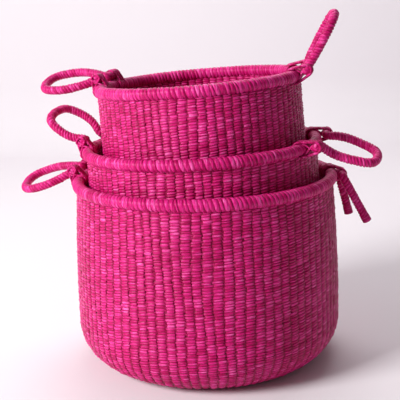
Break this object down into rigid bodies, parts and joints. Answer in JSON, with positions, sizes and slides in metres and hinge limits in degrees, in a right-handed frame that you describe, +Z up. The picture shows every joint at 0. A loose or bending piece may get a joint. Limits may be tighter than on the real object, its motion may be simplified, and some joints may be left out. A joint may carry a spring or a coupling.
{
  "type": "nested laundry basket set",
  "caption": "Round twined laundry baskets nested in one another, each with a ribbed woven wall, wrapped rim and cord handles.",
  "frame": {"origin": "centre of the large basket's underside, on the floor", "axes": "+Z up, +X towards the right-hand handles, +Y away from the front"},
  "size_m": [0.6789, 0.5038, 0.6465],
  "materials": {
    "dyed_weft": "twined dyed grass, satin",
    "rim_strand": "wound dyed grass, satin",
    "cord_strand": "wound dyed grass, satin",
    "stake_straw": "dyed grass stakes, matt",
    "core_straw": "bundled grass, matt"
  },
  "bodies": {
    "large_basket": {"large_base_centre": "dyed_weft", "large_left_lashing": "cord_strand", "large_rim_core": "core_straw", "large_rim_wrap": "rim_strand", "large_stakes": "stake_straw", "large_weft_inner": "dyed_weft", "large_weft_outer": "dyed_weft", "tie_lashing": "cord_strand"},
    "middle_basket": {"middle_base_centre": "dyed_weft", "middle_left_lashing": "cord_strand", "middle_right_lashing": "cord_strand", "middle_rim_core": "core_straw", "middle_rim_wrap": "rim_strand", "middle_stakes": "stake_straw", "middle_weft_inner": "dyed_weft", "middle_weft_outer": "dyed_weft"},
    "small_basket": {"small_base_centre": "dyed_weft", "small_left_lashing": "cord_strand", "small_right_lashing": "cord_strand", "small_rim_core": "core_straw", "small_rim_wrap": "rim_strand", "small_stakes": "stake_straw", "small_weft_inner": "dyed_weft", "small_weft_outer": "dyed_weft"},
    "large_left_handle": {"large_left_handle_core": "core_straw", "large_left_handle_wrap": "cord_strand"},
    "large_tie": {"tie_handle_core": "core_straw", "tie_handle_wrap": "cord_strand", "tie_whippings": "cord_strand"},
    "middle_left_handle": {"middle_left_handle_core": "core_straw", "middle_left_handle_wrap": "cord_strand"},
    "middle_right_handle": {"middle_right_handle_core": "core_straw", "middle_right_handle_wrap": "cord_strand"},
    "small_left_handle": {"small_left_handle_core": "core_straw", "small_left_handle_wrap": "cord_strand"},
    "small_right_handle": {"small_right_handle_core": "core_straw", "small_right_handle_wrap": "cord_strand"}
  },
  "joints": [
    {"name": "middle_lift", "type": "slide", "parent": "large_basket", "child": "middle_basket", "axis": [-0.0279, 0, 0.9996], "range_m": [0, 0.4]},
    {"name": "small_lift", "type": "slide", "parent": "middle_basket", "child": "small_basket", "axis": [-0.0541, 0, 0.9985], "range_m": [0, 0.5]},
    {"name": "large_left_swing", "type": "hinge", "parent": "large_basket", "child": "large_left_handle", "pos_m": [-0.24037, 0.05109, 0.36345], "axis": [0.2079, 0.9781, 0], "range_deg": [0, 50]},
    {"name": "middle_left_swing", "type": "hinge", "parent": "middle_basket", "child": "middle_left_handle", "pos_m": [-0.21062, 0.05553, 0.42143], "axis": [0.2587, 0.9659, 0.0072], "range_deg": [-38, 55]},
    {"name": "middle_right_swing", "type": "hinge", "parent": "middle_basket", "child": "middle_right_handle", "pos_m": [0.21515, -0.05848, 0.41747], "axis": [-0.2587, -0.9659, -0.0072], "range_deg": [-12, 100]},
    {"name": "small_left_swing", "type": "hinge", "parent": "small_basket", "child": "small_left_handle", "pos_m": [-0.18182, 0.05058, 0.53554], "axis": [0.2752, 0.9613, 0.0149], "range_deg": [0, 150]},
    {"name": "small_right_swing", "type": "hinge", "parent": "small_basket", "child": "small_right_handle", "pos_m": [0.19183, -0.02073, 0.54453], "axis": [-0.1044, -0.9945, -0.0057], "range_deg": [-60, 45]},
    {"name": "large_tie_swing", "type": "hinge", "parent": "large_basket", "child": "large_tie", "pos_m": [0.25809, 0, 0.34289], "axis": [0, -1, 0], "range_deg": [-4, 100]}
  ]
}
